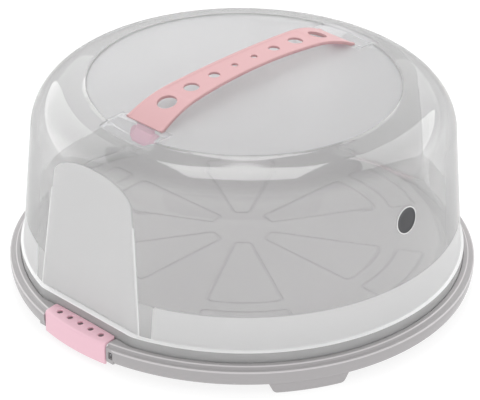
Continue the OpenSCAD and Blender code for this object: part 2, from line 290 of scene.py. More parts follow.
def shellProfile():
    # outer skin only, from the middle of the panel out and down to the flange's lower edge
    d = dome
    lean, slope = math.degrees(d["lean"]), math.degrees(d["slope"])
    points = []
    for i in range(13):
        r = (d["panel"] - 1.2) * i / 12
        points.append((r, d["top"] + d["crown"] * (1 - (r / d["panel"]) ** 2)))
    edge = d["top"] - d["step"]
    points += [(d["panel"] - 0.5, d["top"] - 0.06), (d["panel"] - 0.05, d["top"] - 0.3), (d["panel"] + 0.35, edge - 0.02)]
    start = (
        d["centre"] + d["shoulderRound"] * math.sin(d["slope"]),
        d["shoulder"] + d["shoulderRound"] * math.cos(d["slope"]),
    )
    for i in range(1, 6):
        share = i / 6
        points.append((points[-1][0] + (start[0] - points[-1][0]) / (7 - i), 0))
        points[-1] = (points[-1][0], start[1] + (start[0] - points[-1][0]) * math.tan(d["slope"]))
    points += arcPoints(d["centre"], d["shoulder"], d["shoulderRound"], 90 - slope, lean, 30)
    low = d["flangeTop"] + 1.2
    x, z = points[-1]
    for i in range(1, 37):
        h = z + (low - z) * i / 36
        points.append((d["foot"] - (h - d["flangeTop"]) * math.tan(d["lean"]), h))
    x, z = points[-1]
    points += [(x + 0.12, z - 0.55), (x + 0.5, z - 1.0), (d["flange"] - 0.9, d["flangeTop"] + 0.02)]
    points += arcPoints(d["flange"] - 0.75, d["flangeTop"] - 0.75, 0.75, 75, 0, 4)
    points += [(d["flange"], d["flangeTop"] - 4), (d["flange"], d["low"] + 3), (d["flange"], d["low"] + 0.4)]
    return points


def pressFlats(bm):
    # both flats at the clips: a leaning plane for the wall, an upright one for the flange
    d = dome
    for vert in bm.verts:
        z = vert.co.z / mm
        step = max(0.0, min(1.0, (d["flangeTop"] + 1.2 - z) / 1.2))
        plane = d["flat"] - max(0.0, z - d["flangeTop"]) * math.tan(d["flatLean"])
        plane += (d["flangeFlat"] - d["flat"]) * step * step * (3 - 2 * step)
        side = 1 if vert.co.x > 0 else -1
        vert.co.x = side * softLimit(abs(vert.co.x) / mm, plane, d["flatBlend"]) * mm


def splitBy(bm, point, normal):
    bmesh.ops.bisect_plane(
        bm, geom=bm.verts[:] + bm.edges[:] + bm.faces[:], dist=1e-6, plane_co=Vector(point) * mm, plane_no=normal
    )


def domeZone(x, y, z):
    # which look a spot of the outer skin takes, before the flats are pressed in
    d = dome
    x, y, radius = abs(x), abs(y), math.hypot(x, y)
    # look 5 is a pale, mostly opaque strip along the flange's top edge and each flat's crease: a painted highlight line
    if z < d["flangeTop"] + 0.9:
        return 4 if z < d["flangeTop"] - 0.5 else 5
    out = x + (z - d["flangeTop"]) * math.tan(d["flatLean"]) - d["flat"]
    if out > 0:
        return 1
    if out > -d["crease"] and z < 112:
        return 5
    if d["bandLow"] < z < d["bandHigh"] and y > d["bandEnd"] and (y - d["bandEnd"]) + (d["bandHigh"] - z) > d["bandCorner"]:
        return 2
    if abs(y) < d["bandEnd"] and d["bandLow"] < z < d["bandHigh"]:
        return 6
    if z > 150 and x > strap["neck"][0] - 0.5 and y < d["pocket"][2] and radius < 123:
        return 7
    return 3 if radius < d["panel"] + 0.1 and z > 150 else 0


def makeDome(*looks):
    d = dome
    bm = bmesh.new()
    spinProfile(bm, shellProfile())
    # edges along the flats and round the milky band, so that each look ends on a clean line
    near, far, half = strap["neck"]
    edge, deep, wide = d["pocket"]
    for side in (-1, 1):
        for x in (d["flat"], d["flat"] - d["crease"]):
            splitBy(bm, (side * x, 0, d["flangeTop"]), (side, 0, math.tan(d["flatLean"])))
        splitBy(bm, (0, side * d["bandEnd"], 0), (0, 1, 0))
        splitBy(bm, (0, side * d["bandEnd"], d["bandHigh"] - d["bandCorner"]), (0, side, -1))
        for x in (near - 0.5, far + 0.5, edge, edge + 1.5, edge + 3):
            splitBy(bm, (side * x, 0, 0), (1, 0, 0))
        for y in (half + 0.5, wide, wide - 1.5, wide - 3):
            splitBy(bm, (0, side * y, 0), (0, 1, 0))
    for z in (d["bandLow"], d["bandHigh"]):
        splitBy(bm, (0, 0, z), (0, 0, 1))
    for face in bm.faces:
        face.material_index = domeZone(*(face.calc_center_median() / mm))
    # a slot for each hook's neck, and the flat pocket outside it in the panel's edge
    slots = []
    for face in bm.faces:
        x, y, z = face.calc_center_median() / mm
        if z > 150 and near - 0.5 < abs(x) < far + 0.5 and abs(y) < half + 0.5:
            slots.append(face)
    bmesh.ops.delete(bm, geom=slots, context="FACES")
    for vert in bm.verts:
        x, y, z = vert.co / mm
        if z > 150 and abs(x) > edge and abs(y) < wide:
            share = min(1, (abs(x) - edge) / 3, (wide - abs(y)) / 3)
            vert.co.z = (z + (min(z, d["top"] - deep) - z) * share * share * (3 - 2 * share)) * mm
    pressFlats(bm)
    bmesh.ops.recalc_face_normals(bm, faces=bm.faces)
    bm.normal_update()
    if sum(face.normal.z for face in bm.faces if face.calc_center_median().z > 0.15) < 0:
        bmesh.ops.reverse_faces(bm, faces=bm.faces)
    bmesh.ops.solidify(bm, geom=bm.faces[:], thickness=d["wall"] * mm)
    for vert in bm.verts:
        if vert.co.z < (d["low"] + 1) * mm:
            vert.co.z = (d["low"] + 0.4) * mm
    piece = finishPiece("dome_shell", bm, "lid", looks[0], ("lid_dome",), 50)
    for look in looks[1:]:
        piece.data.materials.append(look)


def trayProfile():
    t = tray
    outer = [(0, t["platform"])]
    outer += [(r, t["platform"]) for r in (40, 80, 110, 130, 141)]
    outer += arcPoints(t["platformRadius"] - 1.6, t["platform"] - 1.5, 1.5, 88, 27, 4)
    outer += [(150.4, 26.8)]
    outer += arcPoints(154.4, 23.0, 1.7, 207, 262, 4)
    outer += [(156, t["shelf"]), (162, t["shelf"])]
    outer += arcPoints(169.3, t["shelf"] - 0.9, 0.9, 88, 38, 3)
    outer += [(170.9, 19.9), (171.5, 19.15), (172.1, 19.0)]
    outer += arcPoints(t["rim"] - 1.25, t["rimTop"] - 1.1, 1.1, 84, 4, 6)
    outer += [(174.6, 14), (173.9, 10), (t["skirtLowRadius"], t["skirtLow"] + 0.3)]
    inner = [(173.0, t["skirtLow"]), (171.4, t["skirtLow"]), (171.1, t["skirtLow"] + 0.3), (172.2, 16.2), (171.6, 16.4), (155.6, 16.4)]
    inner += [(154.4, 19.1), (152.2, 19.1), (151, 20.1), (145.6, 29.6), (144.7, 30.5), (0, 30.5)]
    return outer + inner


def addGroove(cutter, span, corner, turn):
    # a closed ring cut round a petal or tile, wider at the top than at its floor
    half, width, depth = tray["petalHalf"], tray["grooveWidth"], tray["grooveDepth"]
    top = tray["platform"]
    line = [Vector((x, y, 0)) for x, y in sectorOutline(span, half, corner)]
    count = len(line)
    rings = []
    for i, point in enumerate(line):
        along = (line[(i + 1) % count] - line[i - 1]).normalized()
        across = Vector((along.y, -along.x, 0))
        lift = 0.6
        spread = width / 2 * (1 + lift / depth * 0.45)
        ring = []
        for shift, z in ((-spread, top + lift), (-width * 0.27, top - depth), (width * 0.27, top - depth), (spread, top + lift)):
            co = Matrix.Rotation(turn, 3, "Z") @ (point + across * shift)
            ring.append(cutter.verts.new((co.x * mm, co.y * mm, z * mm)))
        rings.append(ring)
    edges = []
    for ring in rings:
        loop = [cutter.edges.new((ring[k], ring[(k + 1) % 4])) for k in range(4)]
        edges.append(loop)
    for i in range(count):
        bmesh.ops.bridge_loops(cutter, edges=edges[i] + edges[(i + 1) % count])


def makeTray(material):
    t = tray
    bm = bmesh.new()
    spinProfile(bm, trayProfile())
    bmesh.ops.recalc_face_normals(bm, faces=bm.faces)
    # feet: a rounded trapezoid pushed through a ring of the skirt's radius
    post = bmesh.new()
    for turn in t["feet"]:
        lean = math.degrees(math.atan((29.3 - 25.5) / 7.8))
        side = 25.5 - 4 * math.tan(math.radians((90 - lean) / 2))
        right = arcPoints(side, 4, 4, -90, -lean, 5) + [(29.3 + 5 * math.tan(math.radians(lean)), 12.8)]
        outline = right + [(-y, z) for y, z in reversed(right)]
        verts = [post.verts.new((150 * mm, y * mm, z * mm)) for y, z in outline]
        face = post.faces.new(verts)
        grown = bmesh.ops.extrude_face_region(post, geom=[face])["geom"]
        far = [g for g in grown if isinstance(g, bmesh.types.BMVert)]
        bmesh.ops.translate(post, vec=(40 * mm, 0, 0), verts=far)
        bmesh.ops.rotate(post, cent=(0, 0, 0), matrix=Matrix.Rotation(math.radians(turn), 3, "Z"), verts=verts + far)
    bmesh.ops.recalc_face_normals(post, faces=post.faces)
    ring = bmesh.new()
    spinProfile(ring, [(167.3, -5), (172.9, -5), (172.9, 12.7), (167.3, 12.7)], closed=True)
    bmesh.ops.recalc_face_normals(ring, faces=ring.faces)
    feet = cutWith(ring, post, "INTERSECT")
    edges = [e for e in feet.edges if len(e.link_faces) == 2 and e.calc_face_angle(0) > 0.6 and max(v.co.z for v in e.verts) < 12 * mm]
    bmesh.ops.bevel(feet, geom=edges, offset=0.6 * mm, segments=2, profile=0.5, affect="EDGES", material=-1)
    # blocks beside each clip that hold the hinge pin
    for side in (-1, 1):
        for end in (-1, 1):
            x0, x1 = sorted((side * 163.4, side * 169.9))
            y0, y1 = sorted((end * 31, end * 38.4))
            addBox(feet, (x0, y0, 7.0), (x1, y1, 17.6), 0.3)
    bm = cutWith(bm, feet, "UNION")
    cutter = bmesh.new()
    # the groove that takes the dome's flange
    seat = bmesh.new()
    spinProfile(seat, [(t["seatInner"], t["seat"]), (t["seatOuter"], t["seat"]), (t["seatOuter"] + 0.2, 24), (t["seatInner"] - 0.2, 24)], closed=True)
    for vert in seat.verts:
        radius = math.hypot(vert.co.x, vert.co.y) / mm
        plane = (160.05 if radius > 165.4 else 157.55) + (0.2 if vert.co.z > 22 * mm and radius > 165.4 else 0)
        if abs(vert.co.x) / mm > plane:
            vert.co.x = math.copysign(plane * mm, vert.co.x)
    bmesh.ops.recalc_face_normals(seat, faces=seat.faces)
    bm = cutWith(bm, seat)
    for side in (-1, 1):
        x0, x1 = sorted((side * 163, side * 190))
        addBox(cutter, (x0, -31.6, -1), (x1, 31.6, 40))
    bm = cutWith(bm, cutter)
    cutter = bmesh.new()
    for side in (-1, 1):
        x0, x1 = sorted((side * 170, side * 190))
        y0, y1 = sorted((side * 20, side * 39.2))
        addBox(cutter, (x0, y0, -2), (x1, y1, 41))
    bm = cutWith(bm, cutter)
    cutter = bmesh.new()
    for side in (-1, 1):
        x0, x1 = sorted((side * 159, side * 190))
        addBox(cutter, (x0, -31.6, 20.3), (x1, 31.6, 40))
        x0, x1 = sorted((side * 167.3, side * 190))
        y0, y1 = sorted((side * 33.6, side * 38))
        addBox(cutter, (x0, y0, 10.4), (x1, y1, 16.2), 0.5)
    for k in range(t["petals"]):
        turn = math.radians(t["petalTurn"] + k * 360 / t["petals"])
        addGroove(cutter, t["petalSpan"], 4, turn)
        addGroove(cutter, t["tileSpan"], 4, turn)
    bmesh.ops.recalc_face_normals(cutter, faces=cutter.faces)
    bm = cutWith(bm, cutter)
    bmesh.ops.remove_doubles(bm, verts=bm.verts, dist=3e-6)
    finishPiece("tray", bm, "base", material, ("base_tray",), 32)


def addPost(cutter, place, tilt, radius, thick, flare):
    # a round cutter across a plate, with a chamfer for both lips of the hole
    a = thick / 2
    line = [(0, -a - 2), (radius + flare + 2, -a - 2), (radius + flare, -a), (radius, -a + flare)]
    line += [(r, -z) for r, z in reversed(line)]
    verts = [cutter.verts.new((r * mm, 0, z * mm)) for r, z in line]
    edges = [cutter.edges.new(pair) for pair in zip(verts, verts[1:])]
    before = set(cutter.verts)
    bmesh.ops.spin(
        cutter, geom=verts + edges, cent=(0, 0, 0), axis=(0, 0, 1), angle=math.tau, steps=48, use_merge=True
    )
    made = verts + [v for v in cutter.verts if v not in before]
    bmesh.ops.rotate(cutter, cent=(0, 0, 0), matrix=Matrix.Rotation(tilt, 3, "Y"), verts=made)
    bmesh.ops.translate(cutter, vec=Vector(place) * mm, verts=made)
    return made


def strapLine(x):
    # height and lean of the strap's top at a distance from its middle
    s = strap
    turn = math.asin(s["bendAt"] / s["arch"])
    if abs(x) <= s["bendAt"]:
        angle = math.asin(x / s["arch"])
        return s["high"] - s["arch"] * (1 - math.cos(angle)), angle
    cx = (s["arch"] - s["bend"]) * math.sin(turn)
    cz = s["high"] - s["arch"] + (s["arch"] - s["bend"]) * math.cos(turn)
    angle = math.asin((abs(x) - cx) / s["bend"])
    return cz + s["bend"] * math.cos(angle), math.copysign(angle, x)


def makeStrap(material, hooked):
    s = strap
    wide, thick = s["halfWidth"][0], s["thick"]
    right = [(0, -s["recess"]), (4, -s["recess"]), (8, -s["recess"]), (wide - 3.1, -s["recess"]), (wide - 2.8, -0.5)]
    right += [(wide - 2.3, -0.06), (wide - 2.0, 0), (wide - 0.7, 0), (wide - 0.2, -0.18), (wide, -0.65)]
    right += [(wide, -thick + 0.6), (wide - 0.2, -thick + 0.15), (wide - 0.7, -thick), (8, -thick), (4, -thick), (0, -thick)]
    loop = right + [(-y, z) for y, z in reversed(right[1:-1])]
    bm = bmesh.new()
    verts = [bm.verts.new((0, y * mm, (s["high"] + z) * mm)) for y, z in loop]
    edges = [bm.edges.new((verts[i], verts[(i + 1) % len(verts)])) for i in range(len(verts))]
    turn = math.asin(s["bendAt"] / s["arch"])
    cx = (s["arch"] - s["bend"]) * math.sin(turn)
    cz = s["high"] - s["arch"] + (s["arch"] - s["bend"]) * math.cos(turn)
    last = math.asin((s["halfLength"] - cx) / s["bend"])
    made = verts + edges
    for centre, angle, steps in (((0, 0, (s["high"] - s["arch"]) * mm), turn, 36), ((cx * mm, 0, cz * mm), last - turn, 24)):
        made = bmesh.ops.spin(
            bm, geom=made, cent=centre, axis=(0, 1, 0), angle=angle, steps=steps, use_merge=False
        )["geom_last"]
    bmesh.ops.edgeloop_fill(bm, edges=[e for e in made if isinstance(e, bmesh.types.BMEdge)])
    low = dome["top"] + s["lift"]
    for vert in bm.verts:
        x, y, z = vert.co / mm
        line, lean = strapLine(min(x, s["halfLength"]))
        depth = (line - z) * math.cos(lean)
        if 0.3 < depth < 0.9 and abs(y) < wide - 2.5:
            rise = max(0.0, min(1.0, (x - s["recessEnd"] + 3) / 3))
            z += depth * rise * rise * (3 - 2 * rise)
        grow = (s["halfWidth"][1] - wide) * (x / s["halfLength"]) ** 2
        y = y * (1 + grow / 9) if abs(y) < 9 else y + math.copysign(grow, y)
        if x > s["halfLength"] - 1.6:
            x = s["halfLength"] - (s["halfLength"] - x) * 0.15
        vert.co = Vector((x, y, max(z, low))) * mm
    bmesh.ops.mirror(bm, geom=bm.verts[:] + bm.edges[:] + bm.faces[:], matrix=Matrix.Identity(4), merge_dist=2e-6, axis="X")
    bmesh.ops.remove_doubles(bm, verts=bm.verts, dist=2e-6)
    bmesh.ops.recalc_face_normals(bm, faces=bm.faces)
    cutter = bmesh.new()
    for at, size in s["holes"]:
        for side in (-1, 1):
            line, lean = strapLine(side * at)
            cut = s["recess"] if at < s["recessEnd"] else 0
            middle = line - (thick + cut) / 2 / math.cos(lean)
            addPost(cutter, (side * at, 0, middle), lean, size / 2, thick - cut, 0.35)
    bmesh.ops.recalc_face_normals(cutter, faces=cutter.faces)
    bm = cutWith(bm, cutter)
    # hooks: a neck through the dome's slot, and a leaning tongue under the dome with two ribs
    for side in (-1, 1):
        near, far, half = s["neck"]
        x0, x1 = sorted((side * near, side * far))
        addBox(bm, (x0, -half, s["barbTop"] - 1), (x1, half, low + 0.6), 0.25)
        reach = s["barbReach"]
        plan = [(0, -s["barbHalf"]), (reach * 0.45, -s["barbHalf"]), (reach * 0.62, -s["barbHalf"] + 0.8), (reach, -s["barbTip"] - 1)]
        plan += [(reach + 0.3, -s["barbTip"])]
        plan += [(x, -y) for x, y in reversed(plan)]
        verts = [bm.verts.new((side * (near + x) * mm, y * mm, 0)) for x, y in plan]
        grown = bmesh.ops.extrude_face_region(bm, geom=[bm.faces.new(verts)])["geom"]
        top = [g for g in grown if isinstance(g, bmesh.types.BMVert)]
        for vert in verts + top:
            run = abs(vert.co.x) / mm - near
            high = s["barbTop"] - max(0, run - 2.7) * 0.79
            vert.co.z = (high if vert in top else high - 1.7 + max(0, 2.7 - run) * 0.2) * mm
        edges = list({e for v in verts + top for e in v.link_edges})
        bmesh.ops.bevel(bm, geom=edges, offset=0.3 * mm, segments=2, profile=0.5, affect="EDGES", material=-1)
        for y in (-8.6, 8.6):
            x0, x1 = sorted((side * (near + 1.5), side * (near + 8.2)))
            rib = addBox(bm, (x0, y - 0.5, 0), (x1, y + 0.5, 1.1), 0.2)
            for vert in rib:
                run = abs(vert.co.x) / mm - near
                vert.co.z += (s["barbTop"] - max(0, run - 2.7) * 0.79 - 0.4) * mm
    bmesh.ops.recalc_face_normals(bm, faces=bm.faces)
    for face in bm.faces:
        face.material_index = 1 if face.calc_center_median().z < dome["top"] * mm - 0.002 else 0
    piece = finishPiece("strap", bm, "strap", material, ("handle_strap",), 40)
    piece.data.materials.append(hooked)
    piece.visible_shadow = False  # the panel under the strap stays as pale as the rest


def makeClip(name, side, body, node, material):
    c = clip
    bm = bmesh.new()
    outer = [(150, c["high"])] + [(c["back"], c["high"])]
    arc = arcPoints(c["face"] - c["round"], c["high"] - c["fall"] - c["round"], c["round"], 84, 0, 6)
    outer += arc + [(c["face"], c["low"] + 5), (c["face"], c["low"] + 0.9), (c["face"] - 0.3, c["low"] + 0.3), (c["face"] - 0.9, c["low"])]
    inner = [(c["face"] - 1.8, c["low"]), (c["face"] - 2.2, c["low"] + 0.4), (c["face"] - 2.2, c["low"] + 5)]
    inner += [(r - 2.15, z - 1.75) for r, z in reversed(arc[:-1])] + [(c["back"], c["high"] - 1.7), (150, c["high"] - 1.7)]
    line = outer + inner
    first = Matrix.Rotation(math.radians(-14), 3, "Z")
    verts = [bm.verts.new(first @ Vector((r * mm, 0, z * mm))) for r, z in line]
    edges = [bm.edges.new((verts[i], verts[(i + 1) % len(verts)])) for i in range(len(verts))]
    turned = bmesh.ops.spin(
        bm, geom=verts + edges, cent=(0, 0, 0), axis=(0, 0, 1), angle=math.radians(28), steps=28, use_merge=False
    )
    bmesh.ops.edgeloop_fill(bm, edges=edges)
    bmesh.ops.edgeloop_fill(bm, edges=[e for e in turned["geom_last"] if isinstance(e, bmesh.types.BMEdge)])
    bmesh.ops.recalc_face_normals(bm, faces=bm.faces)
    block = bmesh.new()
    addBox(block, (c["back"], -c["half"], 0), (190, c["half"], 40))
    corners = [e for e in block.edges if abs(e.verts[0].co.z - e.verts[1].co.z) > 0.01 and e.verts[0].co.x < 0.17]
    bmesh.ops.bevel(block, geom=corners, offset=1.6 * mm, segments=5, profile=0.5, affect="EDGES", material=-1)
    bm = cutWith(bm, block, "INTERSECT")
    bmesh.ops.remove_doubles(bm, verts=bm.verts, dist=5e-6)
    bm.normal_update()
    sharp = [e for e in bm.edges if len(e.link_faces) == 2 and e.calc_face_angle(0) > 0.9]
    bmesh.ops.bevel(bm, geom=sharp, offset=0.35 * mm, segments=2, profile=0.5, affect="EDGES", material=-1)
    # barrel on the pin, joined to the face by a web
    px, pz = c["pin"]
    rod = bmesh.new()
    disc = bmesh.ops.create_cone(
        rod, cap_ends=True, segments=40, radius1=c["barrel"] * mm, radius2=c["barrel"] * mm, depth=2 * (c["half"] - 0.2) * mm
    )["verts"]
    bmesh.ops.rotate(rod, cent=(0, 0, 0), matrix=Matrix.Rotation(math.pi / 2, 3, "X"), verts=disc)
    bmesh.ops.translate(rod, vec=(px * mm, 0, pz * mm), verts=disc)
    web = bmesh.new()
    addBox(web, (px, -c["half"] + 0.4, pz - 1), (c["face"] - 1, c["half"] - 0.4, pz + 1))
    for vert in web.verts:
        if vert.co.x > px * mm:
            vert.co.x = 171.9 * mm - (0.0018 if abs(vert.co.y) > 0.02 else 0)
    rod = cutWith(rod, web, "UNION")
    bm = cutWith(bm, rod, "UNION")
    cutter = bmesh.new()
    bore = bmesh.ops.create_cone(cutter, cap_ends=True, segments=40, radius1=1.56 * mm, radius2=1.56 * mm, depth=0.09)["verts"]
    bmesh.ops.rotate(cutter, cent=(0, 0, 0), matrix=Matrix.Rotation(math.pi / 2, 3, "X"), verts=bore)
    bmesh.ops.translate(cutter, vec=(px * mm, 0, pz * mm), verts=bore)
    for i in range(c["holes"]):
        y = (i - (c["holes"] - 1) / 2) * c["holeGap"]
        run = math.hypot(c["holeAt"], y) - c["back"]
        middle = c["high"] - run * c["fall"] / (c["face"] - c["round"] - c["back"]) - 0.93
        addPost(cutter, (c["holeAt"], y, middle), 0.12, c["holeSize"] / 2, 1.85, 0.3)
    bmesh.ops.recalc_face_normals(cutter, faces=cutter.faces)
    bm = cutWith(bm, cutter)
    if side < 0:
        bmesh.ops.rotate(bm, cent=(0, 0, 0), matrix=Matrix.Rotation(math.pi, 3, "Z"), verts=bm.verts)
    bmesh.ops.recalc_face_normals(bm, faces=bm.faces)
    finishPiece(name, bm, body, material, (node,), 35)


def makeBadge(face, edge):
    b = {"radius": 10.2, "rim": 0.75, "high": 104, "proud": 0.5, "sunk": 0.15}
    bm = bmesh.new()
    p, r = b["proud"], b["radius"]
    line = [(0, p - b["sunk"]), (3, p - b["sunk"]), (6, p - b["sunk"]), (r - b["rim"] - 0.1, p - b["sunk"]), (r - b["rim"], p - b["sunk"] + 0.05)]
    line += [(r - b["rim"] + 0.08, p - 0.02), (r - b["rim"] + 0.2, p), (r - 0.22, p), (r - 0.05, p - 0.08), (r, p - 0.25), (r, 0.02), (6, 0.02), (3, 0.02), (0, 0.02)]
    verts = [bm.verts.new((q * mm, 0, h * mm)) for q, h in line]
    edges = [bm.edges.new(pair) for pair in zip(verts, verts[1:])]
    bmesh.ops.spin(bm, geom=verts + edges, cent=(0, 0, 0), axis=(0, 0, 1), angle=math.tau, steps=96, use_merge=True)
    bmesh.ops.remove_doubles(bm, verts=bm.verts, dist=1e-6)
    bmesh.ops.recalc_face_normals(bm, faces=bm.faces)
    for item in bm.faces:
        q = math.hypot(*item.calc_center_median().xy) / mm
        item.material_index = 0 if q < r - b["rim"] - 0.02 and item.normal.z > 0.5 else 1
    for vert in bm.verts:
        x, up, out = vert.co / mm
        z = b["high"] + up
        wall = dome["foot"] - (z - dome["flangeTop"]) * math.tan(dome["lean"]) + out
        vert.co = Vector((x, -math.sqrt(wall**2 - x**2), z)) * mm
    bmesh.ops.recalc_face_normals(bm, faces=bm.faces)
    piece = finishPiece("badge", bm, "lid", face, ("badge_disc",), 40)
    piece.data.materials.append(edge)


finish = {
    "tray": {"colour": (0.43, 0.415, 0.42, 1), "rough": 0.2, "spread": 0.12, "grain": 900, "bump": 0.05, "tint": 0.03},
    "strap": {"colour": (0.63, 0.385, 0.395, 1), "rough": 0.36, "spread": 0.1, "grain": 1100, "bump": 0.05, "tint": 0.04},
    # painted light: the hooks take a brighter, stronger pink than the strap's own, for the tongue lying in the dome's
    # shade
    "hook": {"colour": (0.92, 0.19, 0.42, 1), "rough": 0.4, "spread": 0.1, "grain": 1100, "bump": 0.05, "tint": 0.04},
    "clip": {"colour": (0.88, 0.57, 0.65, 1), "rough": 0.33, "spread": 0.1, "grain": 1100, "bump": 0.04, "tint": 0.04},
    "badge": {"colour": (0.055, 0.055, 0.06, 1), "rough": 0.38, "spread": 0.12, "grain": 1500, "bump": 0.04, "tint": 0.15},
    "badgeEdge": {"colour": (0.85, 0.85, 0.85, 1), "rough": 0.3, "spread": 0.08, "grain": 1500, "bump": 0.02, "tint": 0.05},
    "pin": {"colour": (0.40, 0.40, 0.41, 1), "rough": 0.3, "spread": 0.2, "grain": 1800, "bump": 0.05, "tint": 0.12},
    "dome": {"colour": (0.95, 0.95, 0.95, 1), "rough": 0.035, "spread": 0.03, "grain": 60, "bump": 0.01, "tint": 0.03},
    "domeFlat": {"colour": (0.85, 0.85, 0.85, 1), "rough": 0.35, "spread": 0.06, "grain": 300, "bump": 0.01, "tint": 0.02},
    "domeBand": {"colour": (0.9, 0.9, 0.9, 1), "rough": 0.3, "spread": 0.06, "grain": 300, "bump": 0.01, "tint": 0.02},
    "domePanel": {"colour": (0.785, 0.785, 0.79, 1), "rough": 0.6, "spread": 0.05, "grain": 300, "bump": 0.01, "tint": 0.02},
    "domeFlange": {"colour": (0.75, 0.75, 0.75, 1), "rough": 0.1, "spread": 0.05, "grain": 300, "bump": 0.01, "tint": 0.02},
    "domePocket": {"colour": (0.84, 0.84, 0.85, 1), "rough": 0.06, "spread": 0.05, "grain": 300, "bump": 0.01, "tint": 0.02},
    "domeGap": {"colour": (0.92, 0.92, 0.92, 1), "rough": 0.1, "spread": 0.05, "grain": 300, "bump": 0.01, "tint": 0.02},
    # painted highlight line on the flange's top edge and the flats' creases
    "domeHighlightLine": {"colour": (0.97, 0.97, 0.97, 1), "rough": 0.2, "spread": 0.05, "grain": 300, "bump": 0.01, "tint": 0.02},
}


def mouldedGroup():
    # colour drift, roughness drift and fine grain of moulded plastic
    group = bpy.data.node_groups.new("mouldedSurface", "ShaderNodeTree")
    sockets = (("Colour", "NodeSocketColor"), ("Tint", "NodeSocketFloat"), ("Roughness", "NodeSocketFloat"),
               ("Spread", "NodeSocketFloat"), ("Grain", "NodeSocketFloat"), ("Bump", "NodeSocketFloat"))
    for name, kind in sockets:
        group.interface.new_socket(name, in_out="INPUT", socket_type=kind)
    for name, kind in (("Colour", "NodeSocketColor"), ("Roughness", "NodeSocketFloat"), ("Normal", "NodeSocketVector")):
        group.interface.new_socket(name, in_out="OUTPUT", socket_type=kind)
    nodes, link = group.nodes, group.links.new
    inputs, outputs = nodes.new("NodeGroupInput"), nodes.new("NodeGroupOutput")
    place = nodes.new("ShaderNodeTexCoord")
    broad = nodes.new("ShaderNodeTexNoise")
    broad.inputs["Scale"].default_value = 14
    broad.inputs["Detail"].default_value = 3
    fine = nodes.new("ShaderNodeTexNoise")
    fine.inputs["Detail"].default_value = 4
    link(place.outputs["Object"], broad.inputs["Vector"])
    link(place.outputs["Object"], fine.inputs["Vector"])
    link(inputs.outputs["Grain"], fine.inputs["Scale"])
    drift = nodes.new("ShaderNodeMath")
    drift.operation = "SUBTRACT"
    drift.inputs[1].default_value = 0.5
    link(broad.outputs["Fac"], drift.inputs[0])
    shade = nodes.new("ShaderNodeMath")
    shade.operation = "MULTIPLY_ADD"
    shade.inputs[2].default_value = 1
    link(drift.outputs[0], shade.inputs[0])
    link(inputs.outputs["Tint"], shade.inputs[1])
    tone = nodes.new("ShaderNodeVectorMath")
    tone.operation = "SCALE"
    link(inputs.outputs["Colour"], tone.inputs[0])
    link(shade.outputs[0], tone.inputs["Scale"])
    link(tone.outputs[0], outputs.inputs["Colour"])
    both = nodes.new("ShaderNodeMath")
    both.operation = "ADD"
    link(broad.outputs["Fac"], both.inputs[0])
    link(fine.outputs["Fac"], both.inputs[1])
    centred = nodes.new("ShaderNodeMath")
    centred.operation = "SUBTRACT"
    centred.inputs[1].default_value = 1
    link(both.outputs[0], centred.inputs[0])
    rough = nodes.new("ShaderNodeMath")
    rough.operation = "MULTIPLY_ADD"
    rough.use_clamp = True
    link(centred.outputs[0], rough.inputs[0])
    link(inputs.outputs["Spread"], rough.inputs[1])
    link(inputs.outputs["Roughness"], rough.inputs[2])
    link(rough.outputs[0], outputs.inputs["Roughness"])
    bump = nodes.new("ShaderNodeBump")
    bump.inputs["Distance"].default_value = 0.0002
    link(inputs.outputs["Bump"], bump.inputs["Strength"])
    link(fine.outputs["Fac"], bump.inputs["Height"])
    link(bump.outputs[0], outputs.inputs["Normal"])
    return group


def makeMaterial(name, group, **plain):
    look = finish[name]
    material = bpy.data.materials.new(name)
    material.use_nodes = True
    nodes, link = material.node_tree.nodes, material.node_tree.links.new
    shader = nodes["Principled BSDF"]
    surface = nodes.new("ShaderNodeGroup")
    surface.node_tree = group
    for socket, key in (("Colour", "colour"), ("Tint", "tint"), ("Roughness", "rough"), ("Spread", "spread"), ("Grain", "grain"), ("Bump", "bump")):
        surface.inputs[socket].default_value = look[key]
    link(surface.outputs["Colour"], shader.inputs["Base Color"])
    link(surface.outputs["Roughness"], shader.inputs["Roughness"])
    link(surface.outputs["Normal"], shader.inputs["Normal"])
    for socket, value in plain.items():
        shader.inputs[socket.replace("_", " ")].default_value = value
    return material


def mathNode(tree, operation, *values):
    node = tree.nodes.new("ShaderNodeMath")
    node.operation = operation
    for socket, value in zip(node.inputs, values):
        if isinstance(value, (int, float)):
            socket.default_value = value
        else:
            tree.links.new(value, socket)
    return node.outputs[0]


def rampNode(tree, value, start, end):
    node = tree.nodes.new("ShaderNodeMapRange")
    node.interpolation_type = "SMOOTHSTEP"
    node.inputs["From Min"].default_value = start
    node.inputs["From Max"].default_value = end
    tree.links.new(value, node.inputs["Value"])
    return node.outputs[0]


def paintLightAndShade(tree, mask, factor):
    # paints light and shade into the base colour: base colour times factor where the mask is one
    socket = tree.nodes["Principled BSDF"].inputs["Base Color"]
    node = tree.nodes.new("ShaderNodeVectorMath")
    node.operation = "SCALE"
    tree.links.new(socket.links[0].from_socket, node.inputs[0])
    tree.links.new(mathNode(tree, "MULTIPLY_ADD", mask, factor - 1, 1.0), node.inputs["Scale"])
    tree.links.new(node.outputs[0], socket)


def paintDomeShade(material, factor):
    # painted shade: the glass colour darkens where the wall turns away from the viewer, and is darkened x0.76 on the
    # shoulder above 138 mm
    tree = material.node_tree
    coord = tree.nodes.new("ShaderNodeTexCoord")
    split = tree.nodes.new("ShaderNodeSeparateXYZ")
    tree.links.new(coord.outputs["Object"], split.inputs[0])
    # painted shade on the shoulder: colour x0.76 above 138 mm
    paintLightAndShade(tree, rampNode(tree, split.outputs["Z"], 0.138, 0.150), 0.76)
    # painted shade at the edges: colour darkens as the wall turns away from the viewer
    weight = tree.nodes.new("ShaderNodeLayerWeight")
    weight.inputs["Blend"].default_value = 0.5
    paintLightAndShade(tree, rampNode(tree, weight.outputs["Facing"], 0.60, 0.90), factor)


